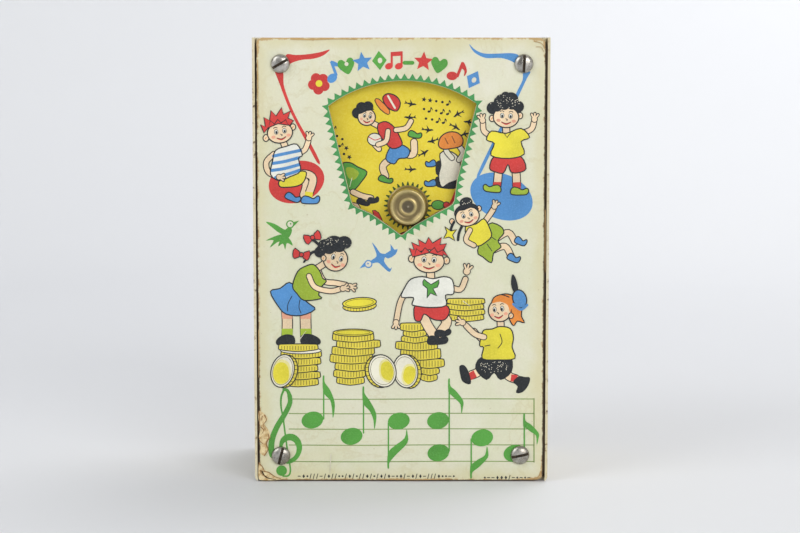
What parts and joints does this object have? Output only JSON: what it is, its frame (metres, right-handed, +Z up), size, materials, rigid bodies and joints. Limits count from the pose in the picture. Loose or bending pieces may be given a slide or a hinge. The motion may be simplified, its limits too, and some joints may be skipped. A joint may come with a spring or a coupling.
{
  "type": "mechanical coin bank",
  "caption": "Upright box-shaped toy coin bank with a printed front panel, fan-shaped window onto a picture disc turned by a knob, top coin slot and rear coin door.",
  "frame": {"origin": "middle of the underside of the case, at the centre of the overall box", "axes": "+Z up, -Y out of the printed front, +X to the right as seen from the front"},
  "size_m": [0.1038, 0.0684, 0.1568],
  "materials": {
    "printed_board": "aged cream printed paper on pressed fibreboard, satin varnish",
    "case_enamel": "cream enamel on sheet steel, chipped edges",
    "disc_card": "yellow printed card",
    "knob_brass": "tarnished turned brass",
    "screw_nickel": "dull nickel plate",
    "plain_steel": "plain cold-rolled steel",
    "spring_steel": "blued spring steel",
    "mechanism_brass": "turned brass",
    "post_wood": "raw turned hardwood dowel"
  },
  "bodies": {
    "case": {"case_wrap": "case_enamel", "top_plate": "case_enamel", "back_plate": "case_enamel", "front_panel": "printed_board", "corner_post_ul": "post_wood", "corner_post_ur": "post_wood", "corner_post_ll": "post_wood", "corner_post_lr": "post_wood", "panel_screw_ul": "screw_nickel", "panel_screw_ur": "screw_nickel", "panel_screw_ll": "screw_nickel", "panel_screw_lr": "screw_nickel", "back_screw_ul": "screw_nickel", "back_screw_ur": "screw_nickel", "back_screw_ll": "screw_nickel", "back_screw_lr": "screw_nickel", "mechanism_plate": "plain_steel", "shaft_bush": "mechanism_brass", "music_comb": "spring_steel", "comb_base": "plain_steel", "comb_screw_front": "plain_steel", "comb_screw_rear": "plain_steel", "base_screw": "plain_steel", "spring_block": "plain_steel", "click_spring": "spring_steel", "click_spring_screw": "plain_steel", "coin_chute": "plain_steel", "lever_bracket": "plain_steel", "bracket_rivet_left": "plain_steel", "bracket_rivet_right": "plain_steel", "lever_pin": "plain_steel", "door_hinge_leaf": "plain_steel", "door_hinge_pin": "plain_steel", "leaf_rivet_lower": "plain_steel", "leaf_rivet_upper": "plain_steel"},
    "wheel_train": {"knob": "knob_brass", "knob_shaft": "plain_steel", "picture_disc": "disc_card", "disc_hub": "mechanism_brass", "melody_drum": "mechanism_brass", "click_wheel": "mechanism_brass", "shaft_collar": "mechanism_brass"},
    "trip_lever": {"coin_lever": "plain_steel", "lever_spring": "spring_steel"},
    "rear_door": {"coin_door": "case_enamel"},
    "latch": {"door_latch": "screw_nickel"}
  },
  "joints": [
    {"name": "knob_turn", "type": "hinge", "parent": "case", "child": "wheel_train", "pos_m": [0.00235, -0.0322, 0.0978], "axis": [0, -1, 0], "continuous": true},
    {"name": "coin_lever_press", "type": "hinge", "parent": "case", "child": "trip_lever", "pos_m": [0, -0.0017, 0.106], "axis": [-1, 0, 0], "range_deg": [0, 32], "stiffness_Nm_per_rad": 0.002, "springref_deg": -17.19},
    {"name": "coin_door_open", "type": "hinge", "parent": "case", "child": "rear_door", "pos_m": [0.03, 0.0327, 0.033], "axis": [0, 0, -1], "range_deg": [0, 105]},
    {"name": "latch_turn", "type": "hinge", "parent": "rear_door", "child": "latch", "pos_m": [-0.019, 0.0312, 0.033], "axis": [0, 1, 0], "range_deg": [0, 90]}
  ]
}
